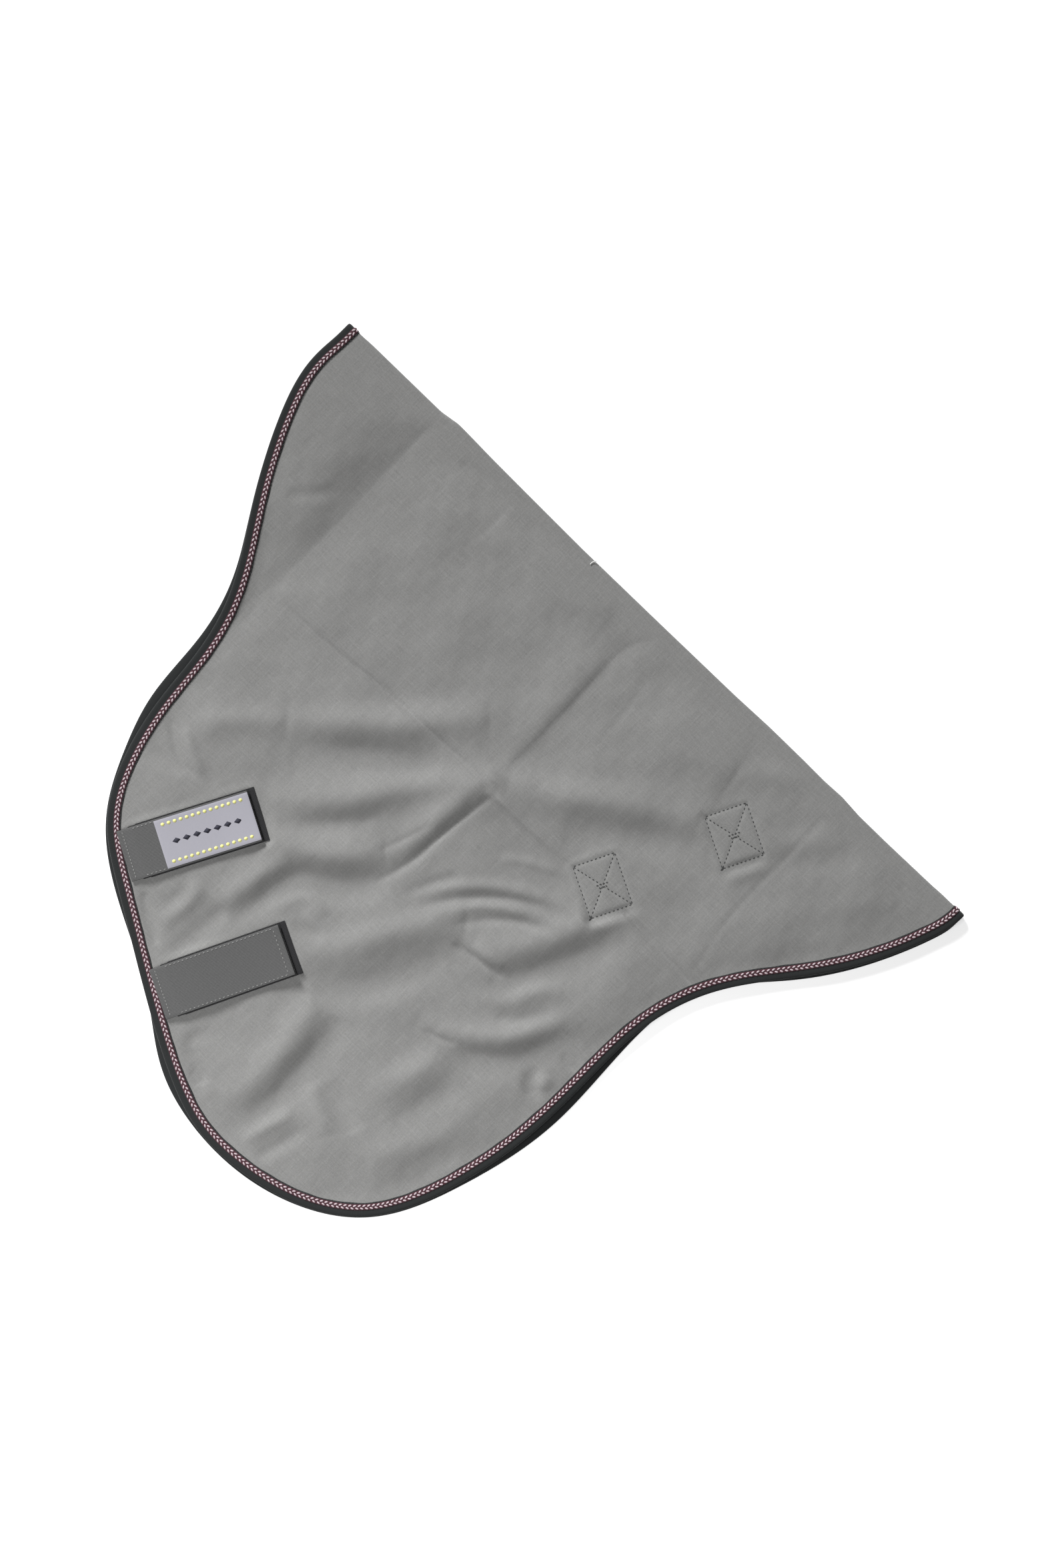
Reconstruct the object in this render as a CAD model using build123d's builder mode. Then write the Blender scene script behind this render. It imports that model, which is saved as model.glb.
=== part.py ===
from build123d import *
import math
import os

# Neck cover of a horse's fly sheet, folded in half along its crest and lying flat on its far side.
# +X runs along the crest from the poll to the withers, +Y from the throat up to the crest, and +Z comes out
# of the near side. All lengths are in millimetres. The origin is the middle of the floor that it covers.

# Cloth, and how the two sides lie on each other
SIDE_THICK = 3.0  # one side's cloth, with the air that its folds hold
SIDE_GAP = 3.2  # between the two sides, where the rug straps lie
SLIT = 0.4  # clearance between the two halves of the crest's turn, and between facing straps
HINGE_OUT = 0.3  # the crest hinges this far outside its turn

# Trim along the raw edge, measured inwards from the edge
TRIM_WIDTH = 13.5
RIM_INSET = 2.0  # the cloth stops this far inside the fold of the binding
RIM_LOW = 1.1  # the cloth's rim inside the binding, above the outer face
RIM_THICK = 1.0
BRAID_START = 6.5
BRAID_WIDTH = 5.5
BRAID_THICK = 0.6

# Closing tabs at the throat: tape, hook strip under it, and strips of loop
TAB_WIDTH = 50.0
TAB_LENGTH = 130.0
TAB_SEWN = 7.6  # from the tape's sewn end to its stitch line, about which it peels
TAPE_THICK = 1.4
STRIP_THICK = 1.0
TAB_CLEAR = 0.4  # between a tab and what stays on the near side
HOOK_START = 24.0
HOOK_WIDTH = 46.0
PARK_START = 20.0
PARK_END = 137.0
PARK_WIDTH = 56.0
CATCH_START = 20.0  # loop strips on the far side, that the tabs close on
CATCH_LENGTH = 95.0
CATCH_DEPTH = 0.8
LABEL_START = 37.0
LABEL_WIDTH = 46.0
LABEL_THICK = 0.5

# Rug straps on the inner faces, and the box of stitches that holds each
STRAP_WIDTH = 45.0
PATCH_LENGTH = 56.0
STRAP_FREE = 75.0
STRAP_THICK = 1.0
PAD_THICK = 0.4
PAD_LENGTH = 48.0
PAD_MARGIN = 3.0
STRAP_TURN = -27.0  # degrees from the crest's direction
THREAD = 0.8

# Raw edge of each side, from just past the poll end of the crest round the throat to just past the withers.
# The near side is drawn in a little by its folds, so the far side's edge shows beyond it.
FAR_EDGE = [
    (-4, 30), (-7, 0), (-9, -46), (10, -119), (47, -190), (80, -249), (96, -312), (102, -384), (119, -437),
    (150, -494), (201, -536), (301, -592), (353, -629), (412, -648), (472, -650), (524, -639), (594, -596),
    (638, -510), (660, -410), (659, -330), (672, -222), (728, -152), (784, -62), (808, 0), (818, 30),
]
NEAR_EDGE = [
    (-2, 30), (-6, 0), (-11, -34), (5, -105), (46, -186), (89, -262), (104, -318), (109, -372), (127, -450),
    (152, -494), (205, -534), (320, -604), (365, -628), (425, -648), (478, -647), (530, -635), (594, -594),
    (632, -520), (651, -430), (654, -350), (657, -284), (682, -211), (742, -130), (782, -62), (806, 0),
    (816, 30),
]

# Sewn end of each tab, with its direction in degrees from the crest's
TABS = {
    "upper": {"root": (190, -509), "turn": 61.5},
    "lower": {"root": (304, -581), "turn": 63.5},
}
# Middle of each strap's stitched patch
STRAPS = {"withers": (592, -92), "shoulder": (535, -213)}

STACK = 2 * SIDE_THICK + SIDE_GAP
HALF_STACK = STACK / 2
BEYOND = 3000.0  # more than the cover measures in any direction
EDGE_STEPS = 64  # places where a line parallel to the raw edge is laid out


def side_sketch(edge, inset=0.0):
    """One side's outline, drawn in from its raw edge but not from the crest."""
    with BuildSketch() as side:
        with BuildLine():
            raw = Spline(*edge, mode=Mode.PRIVATE)
            places = [step / EDGE_STEPS for step in range(EDGE_STEPS + 1)]
            inwards = [raw.tangent_at(t).rotate(Axis.Z, 90) for t in places]
            drawn_in = Spline(*[raw.position_at(t) + way * inset for t, way in zip(places, inwards)])
            Line(drawn_in @ 1, drawn_in @ 0)
        make_face()
        Rectangle(BEYOND, BEYOND, align=(Align.CENTER, Align.MIN), mode=Mode.SUBTRACT)
    return side.sketch


def crest_span(sketch):
    """Where a side's outline starts and ends along the crest."""
    crest = sketch.edges().filter_by(Axis.X).sort_by(Axis.Y)[-1]
    places = [vertex.X for vertex in crest.vertices()]
    return min(places), max(places)


boxes = [side_sketch(edge).bounding_box() for edge in (FAR_EDGE, NEAR_EDGE)]
CENTRE_X = (min(b.min.X for b in boxes) + max(b.max.X for b in boxes)) / 2
CENTRE_Y = (min(b.min.Y for b in boxes) + HALF_STACK) / 2


def level(height):
    """The plane that the sides lie in, at a height, where the crest meets the poll end."""
    return Plane(origin=(-CENTRE_X, -CENTRE_Y, height))


def place(point, turn, height):
    """A plane on the cloth at a point of the cut, with its x axis turned from the crest's direction."""
    origin = (point[0] - CENTRE_X, point[1] - CENTRE_Y, height)
    heading = (math.cos(math.radians(turn)), math.sin(math.radians(turn)), 0)
    return Plane(origin=origin, x_dir=heading, z_dir=(0, 0, 1))


def crest_turn(start, end):
    """The lower half of the cloth's turn over the crest, between two places along it."""
    section = Plane(origin=(start - CENTRE_X, -CENTRE_Y, 0), x_dir=(0, 1, 0), z_dir=(1, 0, 0))
    with BuildPart() as turn:
        with BuildSketch(section):
            with Locations((0, HALF_STACK)):
                Circle(HALF_STACK)
                Circle(SIDE_GAP / 2, mode=Mode.SUBTRACT)
            Rectangle(
                HALF_STACK, HALF_STACK - SLIT / 2, align=(Align.MIN, Align.MIN), mode=Mode.INTERSECT
            )
        extrude(amount=end - start)
    return turn.part


def tape(plane, start, end, width, thick):
    """A straight piece of tape that lies on a plane, between two distances along its x axis."""
    with BuildPart() as strip:
        with BuildSketch(plane):
            with Locations((start, 0)):
                Rectangle(end - start, width, align=(Align.MIN, Align.CENTER))
        extrude(amount=thick)
    return strip.part


def stitched_box(plane):
    """A rectangle of stitches with a cross in it, as deep as half a thread's width."""
    diagonal = math.hypot(PATCH_LENGTH, STRAP_WIDTH) - THREAD
    slope = math.degrees(math.atan2(STRAP_WIDTH, PATCH_LENGTH))
    with BuildPart() as stitches:
        with BuildSketch(plane):
            Rectangle(PATCH_LENGTH, STRAP_WIDTH)
            Rectangle(PATCH_LENGTH - 2 * THREAD, STRAP_WIDTH - 2 * THREAD, mode=Mode.SUBTRACT)
            Rectangle(diagonal, THREAD, rotation=slope)
            Rectangle(diagonal, THREAD, rotation=-slope)
        extrude(amount=THREAD / 2)
    return stitches.part


pieces = {}


def keep(name, solid, flipped=False):
    """Names a finished piece. A near-side piece is made lying like a far-side one and flipped over."""
    finished = mirror(solid, about=Plane.XY.offset(HALF_STACK)) if flipped else solid
    finished.label = name
    pieces[name] = finished


# The two sides, each with its binding, braid, straps and stitches, outer face down
for side, edge in (("far", FAR_EDGE), ("near", NEAR_EDGE)):
    flip = side == "near"
    outline = side_sketch(edge)
    field = side_sketch(edge, TRIM_WIDTH)
    rim = side_sketch(edge, RIM_INSET)
    edge_start, edge_end = crest_span(outline)
    field_start, field_end = crest_span(field)
    cloth_turn = crest_turn(field_start, field_end)
    poll_turn = crest_turn(edge_start, field_start)
    withers_turn = crest_turn(field_end, edge_end)
    stitches = {name: stitched_box(place(middle, STRAP_TURN, 0)) for name, middle in STRAPS.items()}
    catches = []
    if side == "far":
        for name, tab in TABS.items():
            catch = tape(
                place(tab["root"], tab["turn"], 0),
                CATCH_START,
                CATCH_START + CATCH_LENGTH,
                TAB_WIDTH,
                CATCH_DEPTH,
            )
            catches.append((f"far_{name}_loop_strip", catch))

    with BuildPart() as shell:
        with BuildSketch(level(0)):
            add(field)
        extrude(amount=SIDE_THICK)
        with BuildSketch(level(RIM_LOW)):
            add(rim)
        extrude(amount=RIM_THICK)
        add(cloth_turn)
        for box_stitch in stitches.values():
            add(box_stitch, mode=Mode.SUBTRACT)
        for _, catch in catches:
            add(catch, mode=Mode.SUBTRACT)
    keep(f"{side}_shell", shell.part, flip)

    with BuildPart() as braid:
        with BuildSketch(level(0)):
            add(side_sketch(edge, BRAID_START))
            add(side_sketch(edge, BRAID_START + BRAID_WIDTH), mode=Mode.SUBTRACT)
        extrude(amount=BRAID_THICK)
    keep(f"{side}_braid", braid.part, flip)

    with BuildPart() as binding:
        with BuildSketch(level(0)):
            add(outline)
            add(field, mode=Mode.SUBTRACT)
        extrude(amount=SIDE_THICK)
        add(poll_turn)
        add(withers_turn)
        with BuildSketch(level(RIM_LOW)):
            add(rim)
        extrude(amount=RIM_THICK, mode=Mode.SUBTRACT)
        add(braid.part, mode=Mode.SUBTRACT)
    keep(f"{side}_binding", binding.part, flip)

    for name, catch in catches:
        keep(name, catch)

    for name, middle in STRAPS.items():
        keep(f"{side}_{name}_stitches", stitches[name], flip)
        on_cloth = place(middle, STRAP_TURN, SIDE_THICK)
        on_strap = place(middle, STRAP_TURN, SIDE_THICK + STRAP_THICK)
        sewn_end = -PATCH_LENGTH / 2
        tip = PATCH_LENGTH / 2 + STRAP_FREE
        pad_width = STRAP_WIDTH - 2 * PAD_MARGIN
        loop_start = sewn_end + PAD_MARGIN
        hook_end = tip - PAD_MARGIN
        strap = tape(on_cloth, sewn_end, tip, STRAP_WIDTH, STRAP_THICK)
        loop_pad = tape(on_strap, loop_start, loop_start + PAD_LENGTH, pad_width, PAD_THICK)
        hook_pad = tape(on_strap, hook_end - PAD_LENGTH, hook_end, pad_width, PAD_THICK)
        keep(f"{side}_{name}_strap", strap, flip)
        keep(f"{side}_{name}_loop_pad", loop_pad, flip)
        keep(f"{side}_{name}_hook_pad", hook_pad, flip)

# The closing tabs, folded back onto the near side's outer face
strip_top = STACK + STRIP_THICK
hook_low = strip_top + TAB_CLEAR
tape_low = hook_low + STRIP_THICK
tape_top = tape_low + TAPE_THICK
for name, tab in TABS.items():
    root, turn = tab["root"], tab["turn"]
    park = tape(place(root, turn, STACK), PARK_START, PARK_END, PARK_WIDTH, STRIP_THICK)
    sewn = tape(place(root, turn, STACK), 0, TAB_SEWN, TAB_WIDTH, tape_top - STACK)
    hook_end = TAB_LENGTH - PAD_MARGIN
    hook = tape(place(root, turn, hook_low), HOOK_START, hook_end, HOOK_WIDTH, STRIP_THICK)
    flap = tape(place(root, turn, tape_low), TAB_SEWN + TAB_CLEAR, TAB_LENGTH, TAB_WIDTH, TAPE_THICK)
    keep(f"near_{name}_loop_strip", park)
    keep(f"{name}_tab_sewn_end", sewn)
    keep(f"{name}_tab_hook_strip", hook)
    keep(f"{name}_tab_tape", flap)

label_plane = place(TABS["upper"]["root"], TABS["upper"]["turn"], tape_top)
label = tape(label_plane, LABEL_START, TAB_LENGTH - PAD_MARGIN / 2, LABEL_WIDTH, LABEL_THICK)
keep("upper_tab_label", label)

os.makedirs("parts", exist_ok=True)
for name, piece in pieces.items():
    export_step(piece, f"parts/{name}.step")
    print(name, round(piece.volume), "mm3")

# Where the joints are, in metres, for the record
print("crest hinge", 0.0, (-CENTRE_Y + HALF_STACK + HINGE_OUT) / 1000, HALF_STACK / 1000)
for name, tab in TABS.items():
    hinge = place(tab["root"], tab["turn"], tape_top)
    line = hinge.from_local_coords((TAB_SEWN, 0, 0))
    print(name, "tab hinge", [round(v / 1000, 5) for v in line], "axis", [round(-v, 5) for v in hinge.y_dir])
for name, middle in STRAPS.items():
    ring = place(middle, STRAP_TURN, SIDE_THICK)
    tip = ring.from_local_coords((PATCH_LENGTH / 2 + STRAP_FREE, 0, 0))
    print(name, "strap tip", [round(v / 1000, 5) for v in tip], "along", [round(v, 5) for v in ring.x_dir])
print("centre", round(CENTRE_X, 3), round(CENTRE_Y, 3))
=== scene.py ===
# %% [markdown]
# The neck cover of a horse's fly sheet, as it comes out of a cupboard: one cut of ripstop, folded along
# its crest, bound all round with black tape and trimmed with a two-row braid. Two throat tabs of
# webbing close it, and short straps inside join it to the rug. A cover like this is cut and sewn flat,
# and folded afterwards. The lesson follows that order: every piece is made flat on the opened cut, and
# then one function folds it.

# %% Load the frame
import math

import bpy
import numpy as np
from mathutils.geometry import delaunay_2d_cdt
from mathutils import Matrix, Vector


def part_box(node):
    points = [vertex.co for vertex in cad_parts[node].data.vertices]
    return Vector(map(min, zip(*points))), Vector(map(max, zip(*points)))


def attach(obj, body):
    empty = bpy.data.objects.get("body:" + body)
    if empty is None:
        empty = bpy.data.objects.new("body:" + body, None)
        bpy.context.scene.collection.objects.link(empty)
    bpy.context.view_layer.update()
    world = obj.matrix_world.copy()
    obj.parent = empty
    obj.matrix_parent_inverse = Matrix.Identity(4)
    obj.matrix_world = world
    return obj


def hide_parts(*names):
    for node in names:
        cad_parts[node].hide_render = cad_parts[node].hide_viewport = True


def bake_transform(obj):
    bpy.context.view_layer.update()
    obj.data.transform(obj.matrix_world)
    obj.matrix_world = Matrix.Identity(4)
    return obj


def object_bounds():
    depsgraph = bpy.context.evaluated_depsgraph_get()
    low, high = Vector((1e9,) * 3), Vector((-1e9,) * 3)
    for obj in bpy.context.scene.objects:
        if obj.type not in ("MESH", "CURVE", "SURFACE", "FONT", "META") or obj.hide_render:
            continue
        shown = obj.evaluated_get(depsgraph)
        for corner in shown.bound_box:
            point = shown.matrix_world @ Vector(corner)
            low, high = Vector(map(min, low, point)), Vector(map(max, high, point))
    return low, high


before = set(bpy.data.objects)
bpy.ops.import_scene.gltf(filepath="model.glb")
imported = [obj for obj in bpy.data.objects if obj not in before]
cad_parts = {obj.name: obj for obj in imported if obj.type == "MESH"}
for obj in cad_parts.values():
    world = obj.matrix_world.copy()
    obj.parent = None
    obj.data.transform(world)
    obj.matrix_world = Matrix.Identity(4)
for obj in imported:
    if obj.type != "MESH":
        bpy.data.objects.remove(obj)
cad_lo, cad_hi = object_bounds()
MM = 0.001
print("CAD box, mm:", [round(v / MM, 1) for v in (*cad_lo, *cad_hi)])

# %% [markdown]
# The camera comes first, because every later step is judged through it. The cover lies on a pale table
# and is looked at from straight above, turned so that its crest runs down to the right. The long lens
# keeps the edges square to the view.

# %% Camera, floor and light
VIEW_TURN = math.radians(44.07)
VIEW_MIDDLE = (0.0153, 0.1269)
VIEW_HEIGHT = 1.488
LENS, SENSOR = 85.0, 36.0
COVER_TOP = 0.009
KEY_CLIMB, KEY_HEADING = 25, 180 + 28
bpy.ops.object.select_all(action="DESELECT")
bpy.ops.object.camera_add(rotation=(0, 0, VIEW_TURN))
camera = bpy.context.object
camera.name = "camera"
camera.data.lens = LENS
camera.data.sensor_width = SENSOR
camera.location = (*VIEW_MIDDLE, VIEW_HEIGHT * LENS / SENSOR + COVER_TOP)
bpy.context.scene.camera = camera
bpy.context.scene.view_settings.view_transform = "Standard"
view_up = (-math.sin(VIEW_TURN), math.cos(VIEW_TURN))


def soft_light(name, heading, climb, distance, size, power):
    """A square soft box, aimed at the middle of the cover; its heading is turned from the view's up."""
    turn = math.atan2(view_up[1], view_up[0]) + math.radians(heading)
    out = math.cos(math.radians(climb)) * distance
    up = math.sin(math.radians(climb)) * distance
    bpy.ops.object.light_add(type="AREA")
    lamp = bpy.context.object
    lamp.name = name
    lamp.location = (out * math.cos(turn), out * math.sin(turn), up)
    lamp.rotation_euler = (math.radians(90 - climb), 0, turn + math.radians(90))
    lamp.data.size = size
    lamp.data.energy = power


soft_light("fill light", 140, 56, 1.2, 0.8, 9.0)
bpy.ops.object.light_add(type="SUN")
key = bpy.context.object
key.name = "key light"
key.data.angle = math.radians(16)
key.data.energy = 4.65
key.rotation_euler = (math.radians(90 - KEY_CLIMB), 0, VIEW_TURN + math.radians(KEY_HEADING))
world = bpy.data.worlds.new("studio")
bpy.context.scene.world = world
world.use_nodes = True
world.node_tree.nodes["Background"].inputs["Color"].default_value = (1, 1, 1, 1)
world.node_tree.nodes["Background"].inputs["Strength"].default_value = 0.12

bpy.ops.mesh.primitive_plane_add(size=90, location=(0, 0, 0))
floor = bpy.context.object
floor.name = "floor"
paper = bpy.data.materials.new("paper")
paper.use_nodes = True
paper_skin = paper.node_tree.nodes["Principled BSDF"]
paper_skin.inputs["Base Color"].default_value = (0.86, 0.86, 0.86, 1)
paper_skin.inputs["Roughness"].default_value = 0.9
paper_skin.inputs["Emission Color"].default_value = (1, 1, 1, 1)
paper_skin.inputs["Emission Strength"].default_value = 0.5
floor.data.materials.append(paper)
print("camera", round(camera.location.z, 3), "m above the floor")

# %% [markdown]
# The pattern maker's step: the outline of the cut. The raw edges are read off the walls of the two
# bindings of the frame. Opened flat, the far side lies above the crest line and the near side below it,
# so a place on the cut is x along the crest and t across it, more than zero on the near side.

# %% The outline of the cut
BEND_REACH = 4.6 * MM
CREST_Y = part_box("near_shell")[1].y - BEND_REACH
TURN_RADIUS = 3.9 * MM
TURN_MIDDLE = 4.5 * MM
HALF_TURN = math.pi * TURN_RADIUS / 2
EDGE_STEP = 2.8 * MM


def points_of(piece):
    """A piece's points."""
    return np.array([v.co[:] for v in piece.data.vertices])


def wall_line(node, low, high):
    """Points of a binding's outer wall between two heights, in order from poll to withers."""
    corner = points_of(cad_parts[node])
    middle = np.array([0.0, CREST_Y - 0.1])
    found = []
    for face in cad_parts[node].data.polygons:
        normal, centre = np.array(face.normal[:2]), np.array(face.center[:2])
        if abs(face.normal[2]) < 0.2 and normal @ (centre - middle) > 0:
            found.extend(corner[list(face.vertices)])
    found = np.array(found)
    found = found[(found[:, 2] > low) & (found[:, 2] < high) & (found[:, 1] < CREST_Y - 1 * MM)][:, :2]
    angle = np.arctan2(found[:, 0] - middle[0], middle[1] - found[:, 1])
    found = found[np.argsort(angle)]
    apart = np.linalg.norm(np.diff(found, axis=0), axis=1)
    return found[np.r_[True, apart > 0.2 * MM]]


def spaced(line, step):
    """The same line with evenly spaced points."""
    run = np.r_[0, np.cumsum(np.linalg.norm(np.diff(line, axis=0), axis=1))]
    even = np.linspace(0, run[-1], max(3, int(run[-1] / step) + 1))
    return np.stack([np.interp(even, run, line[:, k]) for k in range(line.shape[1])], axis=1)


def eased(loop, reach):
    """A closed line with its corners eased over a few points."""
    bell = np.exp(-0.5 * (np.arange(-3 * reach, 3 * reach + 1) / reach) ** 2)
    bell /= bell.sum()
    wide = np.concatenate([loop[-3 * reach:], loop, loop[:3 * reach]])
    return np.stack([np.convolve(wide[:, k], bell, "valid") for k in range(loop.shape[1])], axis=1)


near_wall = wall_line("near_binding", 6.1 * MM, 8.4 * MM)
far_wall = wall_line("far_binding", 0.8 * MM, 3.1 * MM)
near_cut = np.stack([near_wall[:, 0], HALF_TURN + CREST_Y - near_wall[:, 1]], axis=1)
far_cut = np.stack([far_wall[:, 0], far_wall[:, 1] - CREST_Y - HALF_TURN], axis=1)
outline = np.concatenate([near_cut, far_cut[::-1], near_cut[:1]])
edge = eased(spaced(outline, EDGE_STEP)[:-1], 3)
ahead, behind = np.roll(edge, -1, axis=0), np.roll(edge, 1, axis=0)
along = (ahead - behind) / np.linalg.norm(ahead - behind, axis=1, keepdims=True)
inward = eased(np.stack([-along[:, 1], along[:, 0]], axis=1), 3)
inward /= np.linalg.norm(inward, axis=1, keepdims=True)
if (inward * (np.array([0.0, 0.0]) - edge)).sum() < 0:
    inward = -inward
edge_step = np.linalg.norm(ahead - edge, axis=1)
edge_run = np.r_[0, np.cumsum(edge_step)]
edge_length = edge_run[-1]
print("raw edge", len(edge), "stations,", round(edge_length, 3), "m")

# %% [markdown]
# The lie of the cloth. A folded cover never lies flat: it keeps the creases of its packing, and it
# bunches between whatever is sewn to it. Each fold is a short line on the cut with a height and a
# width. The folds add up to one height field, which eases out at the crest and is held down by the
# binding, tabs and straps.

# %% The folds of the near side
FOLDS = [
    # height mm, width mm or one for each flank, line on the cut in mm: from the poll, below the crest
    (2.2, 9, [(149, 373), (178, 339), (212, 310)]),
    (4.6, 12, [(212, 310), (250, 276), (287, 241), (321, 204), (350, 173)]),
    (-3.0, 11, [(235, 334), (272, 299), (311, 266), (348, 238)]),
    (3.4, 10, [(243, 378), (278, 351), (304, 323), (327, 292), (358, 252), (388, 218)]),
    (-1.6, 7, [(273, 387), (303, 358), (328, 329), (341, 307)]),
    (3.8, 12, [(400, 204), (447, 179), (489, 150), (526, 125), (562, 107)]),
    (-1.6, 11, [(470, 203), (510, 172), (555, 145), (584, 125)]),
    (5.0, 11, [(268, 404), (310, 384), (341, 361), (367, 334)]),
    (-3.6, 10, [(313, 432), (344, 401), (371, 374), (387, 350)]),
    (2.6, 9, [(372, 329), (378, 290), (382, 253), (387, 218)]),
    (2.6, (16, 22), [(376, 290), (384, 258), (388, 228), (392, 200)]),
    (-3.0, (3.5, 7), [(378, 362), (385, 340), (390, 318), (392, 287), (396, 254), (402, 221)], "crease"),
    (-1.2, 3.5, [(360, 336), (370, 310), (378, 283)], "crease"),
    (2.3, (3.5, 5), [(392, 226), (412, 223), (450, 222), (500, 219)], "crease"),
    (1.5, (20, 9), [(380, 238), (402, 205), (430, 190), (470, 172)]),
    (3.0, 9, [(286, 482), (291, 451), (298, 422), (307, 399)]),
    (-2.2, 8, [(306, 485), (312, 450), (319, 420), (330, 396)]),
    (4.6, (13, 11), [(376, 464), (404, 416), (428, 376), (447, 347), (468, 329)]),
    (-3.0, 10, [(405, 478), (437, 442), (462, 405), (478, 367)]),
    (3.6, 11, [(486, 338), (513, 320), (533, 287), (550, 249), (565, 220)]),
    (-2.2, 9, [(519, 354), (544, 325), (567, 285), (586, 241)]),
    (-2.8, (3, 6), [(470, 352), (490, 348), (508, 346), (528, 342)], "crease"),
    (1.4, 4, [(484, 340), (505, 337), (522, 334)]),
    (1.7, 4.5, [(409, 352), (430, 318), (462, 285), (500, 262), (532, 250)]),
    (-1.3, 3.2, [(424, 350), (447, 316), (476, 288), (510, 266)]),
    (1.5, 3.8, [(440, 344), (466, 308), (498, 284), (530, 270)]),
    (-1.2, 3, [(456, 342), (482, 310), (508, 290), (530, 280)]),
    (1.0, 3.4, [(447, 262), (470, 246), (500, 232)]),
    (0.9, 9, [(615, 76), (642, 53), (670, 19)]),
    (-0.4, 9, [(635, 92), (662, 65), (690, 30)]),
    (3.4, 11, [(425, 614), (427, 570), (425, 530), (418, 496), (410, 478)]),
    (-3.2, 10, [(452, 610), (455, 573), (455, 534), (451, 499), (440, 476)]),
    (2.9, (9, 8), [(497, 426), (527, 414), (552, 397), (573, 376), (588, 349), (603, 316)]),
    (-3.2, 11, [(529, 436), (563, 418), (588, 396), (606, 367), (622, 330)]),
    (-1.4, 3, [(508, 429), (524, 425), (540, 418)], "crease"),
    (1.5, 6, [(526, 371), (550, 352), (561, 326), (581, 312)]),
    (-1.3, 5, [(549, 375), (570, 358), (584, 330)]),
    (2.4, 10, [(516, 514), (528, 473), (536, 443), (552, 417)]),
    (-1.8, 9, [(549, 514), (559, 477), (570, 445)]),
    (-1.6, 8, [(476, 530), (506, 537), (530, 545)]),
    (1.6, 7, [(465, 540), (490, 553), (513, 566)]),
    (1.7, 5, [(458, 626), (465, 600), (474, 571)]),
    (-1.3, 5, [(478, 632), (485, 606), (493, 576)]),
    (1.4, 9, [(553, 557), (575, 522), (590, 489), (594, 450)]),
    (-0.9, 9, [(578, 568), (601, 534), (614, 491)]),
    (-1.6, 4.5, [(625, 406), (615, 395), (610, 380)]),
    (1.1, 5, [(630, 392), (622, 379)]),
    (-1.2, 3.5, [(621, 356), (636, 355)]),
    (-1.8, 5, [(379, 607), (394, 614)]),
    (-1.2, 5, [(368, 606), (358, 588), (366, 569)]),
    (2.2, 6, [(260, 532), (262, 498), (262, 474)]),
    (-2.2, 6, [(286, 542), (291, 509), (292, 476)]),
    (2.2, 6, [(326, 450), (333, 423), (347, 413), (368, 418)]),
    (-1.2, 5, [(348, 443), (366, 438), (378, 432)]),
    (-2.4, (3.5, 5), [(129, 383), (146, 397), (165, 406), (185, 409)], "crease"),
    (1.6, 4.5, [(146, 381), (165, 392), (189, 401)]),
    (-1.4, 4, [(140, 411), (157, 414), (178, 412)]),
    (-1.2, 4, [(408, 349), (418, 324), (434, 299)]),
    (-3.2, 4.5, [(226, 520), (248, 535), (270, 548)], "crease"),
    (-1.8, 6, [(251, 518), (255, 503), (258, 487)]),
    (-1.5, 4.5, [(363, 595), (378, 603), (392, 614)]),
    (-1.3, 4, [(605, 390), (619, 396), (633, 404)]),
    (-1.2, 4, [(618, 355), (631, 355), (643, 355)]),
    (-3.4, (20, 34), [(114, -70), (114, 20), (114, 81), (115, 155), (110, 241), (104, 330)], "crease"),
    (-1.0, (6, 11), [(424, -12), (400, 22), (393, 50), (395, 108), (394, 170), (392, 208)], "crease"),
    (1.2, (7, 17), [(387, 225), (388, 175), (386, 115), (384, 50)]),
    (-2.4, 2.4, [(120, 233), (200, 229), (252, 224), (330, 221), (400, 218)], "crease"),
    (-2.4, 2.8, [(545, 215), (561, 216), (608, 219), (655, 222), (668, 223)], "crease"),
    (-0.4, 3, [(640, 1), (642, 63), (642, 145), (654, 219)], "crease"),
    (-1.3, 5, [(157, 21), (186, 11), (221, 1)]),
    (-1.0, 5, [(61, 156), (80, 137), (96, 116)]),
    (2.0, 16, [(220, 36), (298, 35), (367, 29)]),
    (3.0, 18, [(434, 75), (497, 67), (555, 55)]),
    (1.4, 9, [(549, 44), (578, 24), (609, -3)]),
]
print("folds:", len(FOLDS))

# %% [markdown]
# Each fold follows a smooth line through its points. A soft fold is a bell across, a pressed crease a
# sharp peak, and both fade towards their ends. They are added up on a grid, which any later piece can
# read at any point.

# %% The heights of the folds
CREST_START = -398.511 * MM
TABS = {"upper": ((190, 509), 61.5), "lower": ((304, 581), 63.5)}
STRAPS = {"withers": (592, 92), "shoulder": (535, 213)}
STRAP_TURN = math.radians(-27)
CELL = 1.2 * MM
FOLD_GAIN = 1.45


def rise(value, start, end):
    """0 before start, 1 after end, and smooth between them."""
    part = np.clip((value - start) / (end - start), 0, 1)
    return part * part * (3 - 2 * part)


def flowing(points, per_span=7):
    """A smooth line through a few points."""
    p = np.array([points[0], *points, points[-1]], float)
    u = np.linspace(0, 1, per_span, endpoint=False)[:, None]
    spans = []
    for a, b, c, d in zip(p[:-3], p[1:-2], p[2:-1], p[3:]):
        spans.append(0.5 * (2 * b + (c - a) * u + (2 * a - 5 * b + 4 * c - d) * u**2
                            + (3 * b - a - 3 * c + d) * u**3))
    return np.concatenate([*spans, p[-1:]])


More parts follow.
